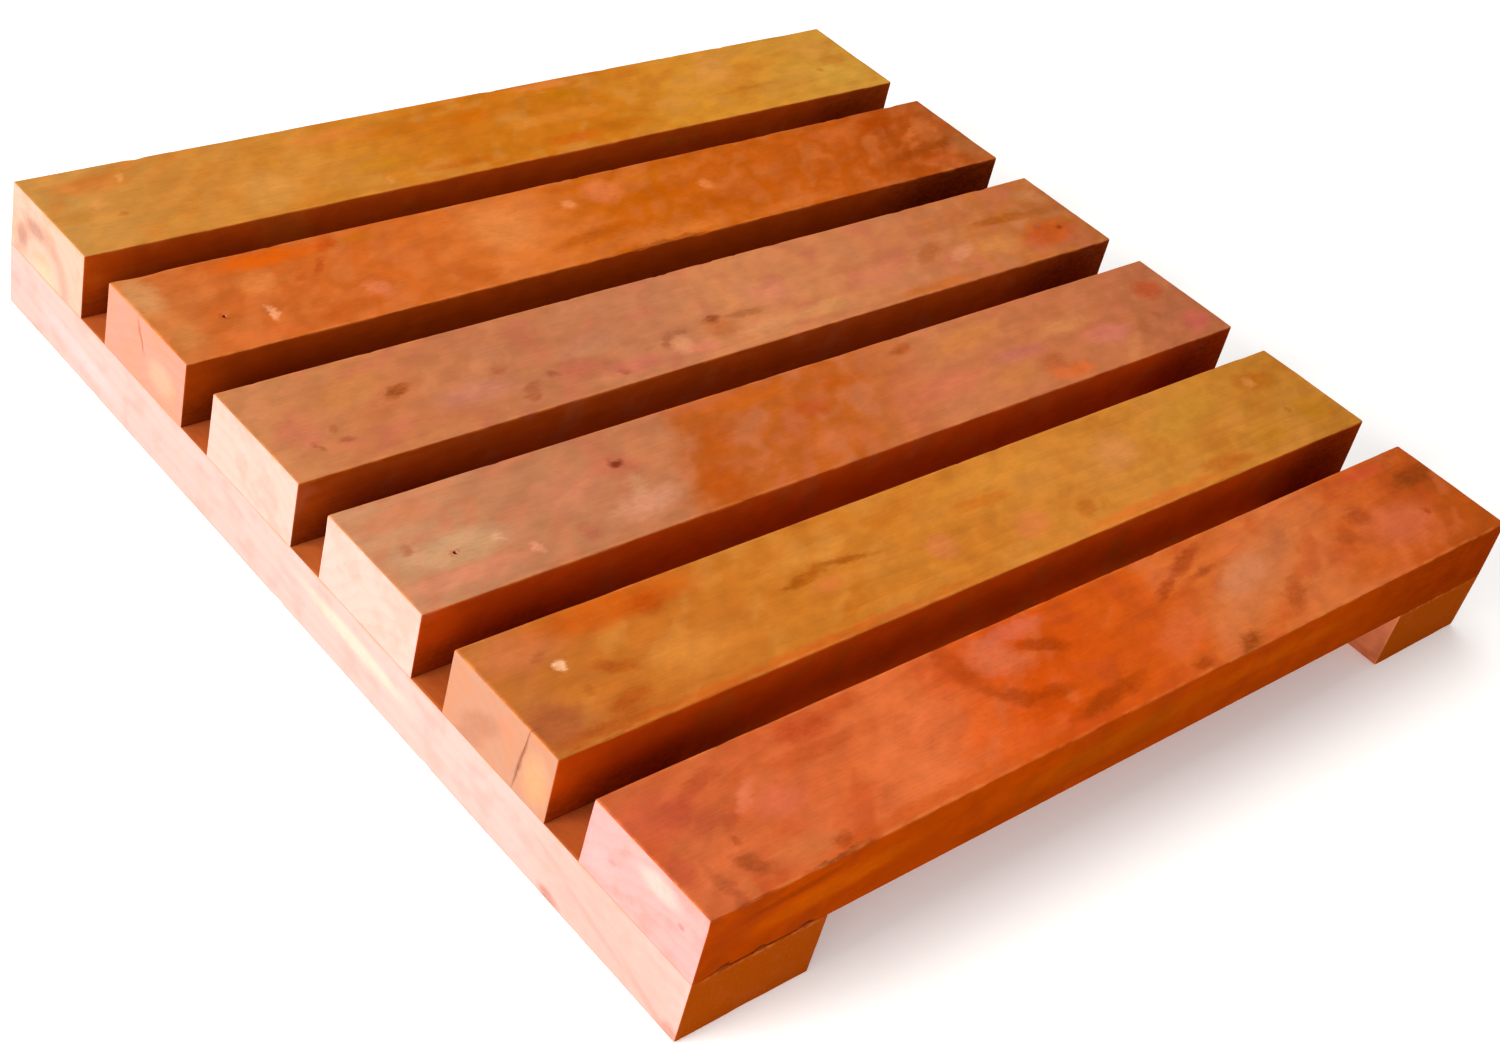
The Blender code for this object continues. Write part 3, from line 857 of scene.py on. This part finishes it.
# Its pinkish tones are partly painted reflection, the haze of a bright room on its oiled top.
SLAT_6 = Wood(
    along=[
        (0, (193, 96, 53)), (50, (204, 97, 49)), (105, (218, 107, 54)), (130, (218, 92, 32)),
        (150, (206, 78, 12)), (200, (210, 88, 20)), (240, (214, 108, 46)), (290, (212, 114, 58)),
        (335, (206, 94, 34)), (380, (178, 80, 22)),
    ],
    cloud=(190, 74, 30), cloud_share=0.5, bloom=(216, 110, 62),
    streak=(158, 56, 16), streak_share=0.16, side=(182, 68, 1), end=(195, 140, 136),
    pith=(-10, -34), lean=0.05, ring=4.4,
    marks=[
        (10, 14, 20, 13, 0, (196, 80, 54), 0.6), (17, 15, 9, 6, 30, (166, 66, 44), 0.5),
        (22, 22, 10, 4, 30, (168, 68, 44), 0.5), (28, 24, 6, 4, 30, (160, 62, 38), 0.5),
        (30, 9, 16, 4, 20, (170, 66, 34), 0.6), (38, 19, 10, 3, 35, (222, 120, 86), 0.6),
        (45, 25, 14, 8, 0, (218, 108, 76), 0.65), (24, 40, 8.5, 5.5, -45, (148, 66, 28), 0.75),
        (11.5, 42, 3.4, 11, 5, (160, 74, 38), 0.6), (4, 32, 6, 10, 0, (182, 70, 48), 0.5),
        (40, 43, 16, 8, 0, (204, 114, 62), 0.6), (17, 46, 4, 6, 0, (200, 112, 60), 0.5),
        # The mark at 48 along is painted shade along the chipped front arris.
        (51.5, 45.5, 5.4, 3.8, 10, (146, 58, 18), 0.75), (48, 49.6, 17, 1.4, 0, (112, 42, 10), 0.7),
        (71, 7, 16, 8, 0, (180, 62, 22), 0.75), (66, 15, 26, 4.4, -3, (180, 72, 26), 0.65),
        (88, 4, 14, 4, 0, (186, 74, 26), 0.6), (100, 26, 34, 18, 20, (226, 116, 64), 0.6),
        (95, 47, 70, 4, 0, (198, 82, 18), 0.6), (132, 6, 7, 13, 0, (176, 66, 18), 0.75),
        (134, 18, 7, 9, 10, (178, 68, 18), 0.65), (141, 28, 12, 6, -38, (166, 60, 8), 0.8),
        (153, 31.5, 13, 4, -8, (168, 60, 4), 0.75), (147, 12, 14, 12, -20, (218, 114, 74), 0.75),
        (160, 5.5, 20, 5, 0, (216, 110, 82), 0.6), (166, 15, 13, 4.4, -25, (162, 56, 2), 0.75),
        (180, 24, 14, 6, 0, (212, 82, 12), 0.5), (168, 42, 28, 4.6, 6, (152, 56, 2), 0.75),
        (143, 43, 10, 4, 20, (222, 102, 44), 0.5), (226, 15, 12, 3.2, 24, (156, 54, 14), 0.7),
        (244, 8, 17, 4, 20, (164, 58, 18), 0.75), (246, 15, 10, 2.4, 5, (158, 58, 24), 0.6),
        (214, 33, 20, 10, 20, (222, 108, 62), 0.55), (258, 27, 50, 14, 24, (208, 122, 72), 0.75),
        (258, 23, 22, 9, 15, (208, 132, 92), 0.6), (233, 46.5, 10, 5.4, 8, (140, 58, 4), 0.85),
        (209, 46.5, 6, 3.4, 0, (150, 58, 8), 0.7), (268, 38, 14, 5, 36, (164, 66, 20), 0.7),
        (284, 17, 14, 5, 35, (186, 104, 64), 0.6), (312, 27, 9, 5, -20, (164, 74, 32), 0.55),
        (326, 21, 9, 6, 10, (160, 62, 22), 0.65), (308, 42, 22, 9, 0, (202, 92, 22), 0.6),
        (340, 31, 24, 12, 10, (214, 106, 70), 0.7), (350, 5, 18, 4, 0, (210, 76, 50), 0.65),
        (368, 15, 22, 6.5, 8, (128, 56, 14), 0.75), (374, 34, 8, 10, 0, (196, 88, 20), 0.5),
    ],
    end_marks=[
        (12, 14, 2.4, 1.4, 20, (160, 108, 112), 0.6), (41, 11, 1.8, 1.4, 0, (150, 100, 104), 0.7),
        (30, 6, 12, 5, 0, (214, 172, 160), 0.6), (8, 18, 8, 8, 0, (210, 150, 148), 0.5),
    ],
    front_marks_and_shade=[
        (24, 24.6, 27, 1.2, 0, (80, 28, 6), 0.9), (11, 24, 3, 1.8, 20, (70, 22, 4), 0.95),
        (24, 24.2, 3, 1.6, 0, (70, 22, 4), 0.95), (42, 24.4, 3, 1.8, 0, (70, 22, 4), 0.95),
        (50, 12, 44, 6, 3, (198, 88, 4), 0.7), (34, 6, 26, 2, 4, (140, 52, 6), 0.7),
        (170, 12, 70, 7, 1, (172, 80, 4), 0.6), (150, 20, 60, 2, 1, (150, 58, 6), 0.6),
        (255, 10, 60, 5, -1, (196, 86, 4), 0.5), (352, 17, 12, 5, 0, (150, 46, 6), 0.6),
        (372, 12, 110, 30, 0, (140, 44, 1), 0.7),
    ],
)
SLAT_WOODS = [SLAT_1, SLAT_2, SLAT_3, SLAT_4, SLAT_5, SLAT_6]

BEARER_WOOD = Wood(
    along=[(0, (182, 86, 38)), (190, (190, 96, 44)), (380, (186, 88, 38))],
    cloud=(170, 74, 32), cloud_share=0.4, bloom=(198, 102, 50),
    # Its bright side colour is painted light on the inner sides; its dark end colour is painted shade on
    # the ends.
    streak=(160, 72, 26), streak_share=0.3, side=(244, 142, 96), end=(150, 64, 2),
    pith=(18, -30), lean=0.03, ring=5.0,
    # The paler outer side is partly a painted highlight, the glare of the window.
    pale_side_and_highlight=(196, 155, 148),
    pale_marks=[
        (60, 8, 14, 1.6, 12, (176, 132, 120), 0.6), (38, 15, 26, 1.8, 14, (170, 122, 112), 0.6),
        (14, 20, 16, 2, 20, (164, 112, 100), 0.6), (58, 22, 7, 3, 10, (138, 88, 72), 0.75),
        (72, 11, 6, 3, 0, (176, 140, 140), 0.6), (116, 18, 9, 4, 0, (184, 142, 130), 0.6),
        (160, 9, 40, 4, 3, (214, 184, 162), 0.6), (250, 12, 50, 4, 4, (202, 152, 140), 0.5),
        (330, 14, 40, 5, 5, (208, 170, 172), 0.5), (3, 22, 5, 4, 0, (130, 84, 60), 0.7),
        (34, 12, 56, 22, 10, (192, 140, 128), 0.65),
    ],
)

# Dents and chips: a middle in mm from the left end, the back edge and the top, radii and a depth in mm
SLAT_DENTS = {
    2: [
        ((187, 50, 0), (4, 1.5, 1.8), 0.9), ((216, 50, 0), (5, 1.5, 1.8), 1.0),
        ((12, 0, 0), (10, 1.5, 1.5), 0.6), ((43, 35, 0), (1.6, 3.5, 1), 0.25),
    ],
    3: [((56, 22, 0), (4, 1.6, 1), 0.3)],
    5: [((23, 20.5, 0), (2.2, 1.4, 1.0), 0.35)],
    6: [
        ((13, 50, 0), (5, 2.2, 2.6), 1.1), ((21, 50, 0.5), (4, 1.6, 1.8), 0.6),
        ((3, 50, 1), (5, 2, 3), 0.6), ((46, 50, 0), (7, 1.5, 1.6), 0.7),
        ((60, 50, 0), (4, 1.4, 1.4), 0.5), ((234, 49, 0), (6, 3, 2), 0.5),
        ((11, 50, 24.6), (4, 1, 1.6), 0.8), ((25, 50, 24.8), (3, 1, 1.4), 0.7),
        ((42, 50, 24.6), (4, 1, 1.6), 0.8),
    ],
}

# Drying checks in the ends: the slat, its end, (y, z) in mm from the middle, width and depth in mm
SLAT_CHECKS = {
    1: [(1, [(-15, -13.5), (-14.4, -8), (-15.2, -3)], 0.3, 7)],
    2: [(-1, [(6, 13.5), (4, 9), (1.4, 3), (0.8, -1)], 0.22, 5)],
    3: [(1, [(6, 13.5), (5.4, 7), (6.2, 2)], 0.3, 9)],
    5: [(-1, [(-12.4, 13.5), (-11.6, 9), (-10.8, 2), (-10.2, -4), (-9.4, -13.5)], 0.2, 12)],
    6: [(1, [(-7, 13.5), (-6.2, 6), (-7.2, -1), (-6.6, -7)], 0.35, 8)],
}

OPEN_NAILS = {"nail_left_2", "nail_left_4"}  # the middle of their filler has dropped out
BEARER_TURNS = {"bearer_left": math.pi / 2, "bearer_right": -math.pi / 2}


# ---------------------------------------------------------------- building the mat


def middle(node):
    low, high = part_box(node)
    return (low + high) / 2


def board_of(node, slot, turn, seed, rise=0.0, **more):
    """A board's frame from its CAD node, turned about z so that its x runs along the grain.

    Its top may rise above the CAD solid's.
    """
    low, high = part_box(node)
    high.z += rise
    size = high - low
    along_y = abs(math.sin(turn)) > 0.5
    sides = (size.y, size.x, size.z) if along_y else tuple(size)
    place = Matrix.Translation((low + high) / 2) @ Matrix.Rotation(turn, 4, "Z")
    return Board(node=node, slot=slot, size=sides, place=place, seed=seed, **more)


def from_corner(board, spot):
    """A point given in mm from the board's left end, back edge and top, in the board's own frame."""
    length, width, height = board.size
    return (spot[0] * MM - length / 2, width / 2 - spot[1] * MM, height / 2 - spot[2] * MM)


def nails_of(board):
    """The CAD nails that pass through a board's box."""
    low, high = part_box(board.node)
    for node in sorted(frame["nodes"]):
        spot = middle(node)
        if node.startswith("nail") and low.x < spot.x < high.x and low.y < spot.y < high.y:
            yield node


def nail_place(node):
    """Where a nail's head lies and how long the nail is."""
    low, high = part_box(node)
    return Matrix.Translation((middle(node).x, middle(node).y, high.z)), high.z - low.z


def hole_cutters(board):
    """The holes that a board's nails stand in; a filled one stops under its filler."""
    for node in nails_of(board):
        place, length = nail_place(node)
        profile = hole_profile(length)
        if node in OPEN_NAILS:
            profile = [(0.0, ABOVE), (FILLER_GAP, ABOVE), (FILLER_GAP, NAIL_FIT)] + profile[1:]
        yield turned("hole", profile, place)


def filler_marks(board, wood):
    """Filler over the punched nails: its dimples and its colour."""
    dents, marks = [], []
    for node in nails_of(board):
        at = board.place.inverted() @ middle(node)
        dents.append(((at.x, at.y, board.size[2] / 2), FILLER_DIMPLE, FILLER_SINK))
        x, y = at.x / MM + board.size[0] / MM / 2, board.size[1] / MM / 2 - at.y / MM
        marks.append((x, y, FILLER_SPOT, FILLER_SPOT, 0, wood.streak, FILLER_SHARE))
    return dents, marks


def finish_piece(piece, board, material):
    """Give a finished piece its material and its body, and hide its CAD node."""
    piece.data.materials.clear()
    piece.data.materials.append(material)
    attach(piece, "root")
    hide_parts(board.node)


def make_board(board, wood):
    """One finished board with its nail holes and drying checks."""
    name = board.node + "_wood"
    dents, marks = filler_marks(board, wood) if board.seat < 0 else ([], [])
    board.dents += dents
    wood.marks = [*wood.marks, *marks]
    piece = board_object(board, name)
    cutters = list(hole_cutters(board)) + [crack_cutter(board, crack) for crack in board.checks]
    bpy.context.view_layer.update()
    cut_away(piece, cutters)
    for cutter in cutters:
        bpy.data.objects.remove(cutter)
    finish_piece(piece, board, wood_material(name, board, wood))


def make_slats(slots):
    for number, wood in enumerate(SLAT_WOODS, 1):
        node = f"slat_{number}"
        board = board_of(node, slots[node], 0.0, seed=number)
        for spot, radii, depth in SLAT_DENTS.get(number, []):
            board.dents.append((from_corner(board, spot), [r * MM for r in radii], depth * MM))
        for end, line, width, depth in SLAT_CHECKS.get(number, []):
            spots = [(y * MM, z * MM) for y, z in line]
            board.checks.append((end, spots, width * MM, depth * MM))
        make_board(board, wood)


def make_bearers(slots):
    """The bearers, each turned so that its paler side, partly a painted highlight, faces out."""
    for seed, (node, turn) in enumerate(BEARER_TURNS.items(), len(SLAT_WOODS) + 1):
        board = board_of(node, slots[node], turn, seed=seed, rise=SEAT_FILL, seat=1)
        make_board(board, BEARER_WOOD)


def make_nails():
    steel = nail_material()
    for node in sorted(frame["nodes"]):
        if not node.startswith("nail"):
            continue
        place, length = nail_place(node)
        nail = turned(node + "_steel", nail_profile(length), place)
        nail.data.materials.append(steel)
        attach(nail, "root")
        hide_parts(node)


# ---------------------------------------------------------------- studio

FLOOR_COLOUR = (0.94, 0.935, 0.925, 1.0)
FLOOR_SIZE = 8.0
FLOOR_GLOW = 0.18
ROOM_COLOUR = (1.0, 0.99, 0.975, 1.0)
ROOM_LIGHT = 0.45

CAMERA_LENS = 54.98  # mm, on a 36 mm sensor
CAMERA_AZIMUTH = math.radians(-50.30)
CAMERA_ELEVATION = math.radians(36.94)
CAMERA_ROLL = math.radians(15.76)
CAMERA_DISTANCE = 0.7624
CAMERA_AIM = Vector((-0.0477, -0.0485, 0.0245))


def make_floor():
    bpy.ops.mesh.primitive_plane_add(size=FLOOR_SIZE)
    floor = bpy.context.object
    floor.name = "studio_floor"
    floor.data.materials.append(floor_material())


def make_camera():
    """The view from the front left, a little tilted."""
    level = math.cos(CAMERA_ELEVATION)
    x, y = math.sin(CAMERA_AZIMUTH) * level, -math.cos(CAMERA_AZIMUTH) * level
    back = Vector((x, y, math.sin(CAMERA_ELEVATION)))
    data = bpy.data.cameras.new("camera")
    data.lens = CAMERA_LENS
    data.sensor_width = 36.0
    camera = bpy.data.objects.new("camera", data)
    bpy.context.scene.collection.objects.link(camera)
    camera.rotation_mode = "QUATERNION"
    camera.location = CAMERA_AIM + back * CAMERA_DISTANCE
    camera.rotation_quaternion = (-back).to_track_quat("-Z", "Y") @ Quaternion((0, 0, 1), CAMERA_ROLL)
    bpy.context.scene.camera = camera


def area_light(name, place, size, power, colour):
    """A soft light that faces the middle of the floor."""
    data = bpy.data.lights.new(name, "AREA")
    data.shape = "RECTANGLE"
    data.size, data.size_y = size
    data.energy = power
    data.color = colour
    light = bpy.data.objects.new(name, data)
    bpy.context.scene.collection.objects.link(light)
    light.location = place
    light.rotation_mode = "QUATERNION"
    light.rotation_quaternion = (-Vector(place)).to_track_quat("-Z", "Y")


def make_lights():
    """A strong soft window from the left, a weak fill from the front left, a top light and a pale room."""
    area_light("window", (-1.7, 0.25, 0.85), (1.0, 0.9), 40, (1.0, 0.97, 0.93))
    area_light("fill", (-0.95, -0.75, 0.35), (1.0, 0.5), 6, (1.0, 0.96, 0.92))
    area_light("overhead", (0.3, 0.5, 1.8), (1.4, 1.4), 14, (1.0, 0.99, 0.97))
    world = bpy.data.worlds.new("room")
    world.use_nodes = True
    background = world.node_tree.nodes["Background"]
    background.inputs["Color"].default_value = ROOM_COLOUR
    background.inputs["Strength"].default_value = ROOM_LIGHT
    bpy.context.scene.world = world
    bpy.context.scene.view_settings.view_transform = "Standard"


def main():
    slots = {part["node"]: part["material_slot"] for part in frame["record"]["subparts"]}
    make_camera()
    make_lights()
    make_floor()
    make_slats(slots)
    make_bearers(slots)
    make_nails()


main()
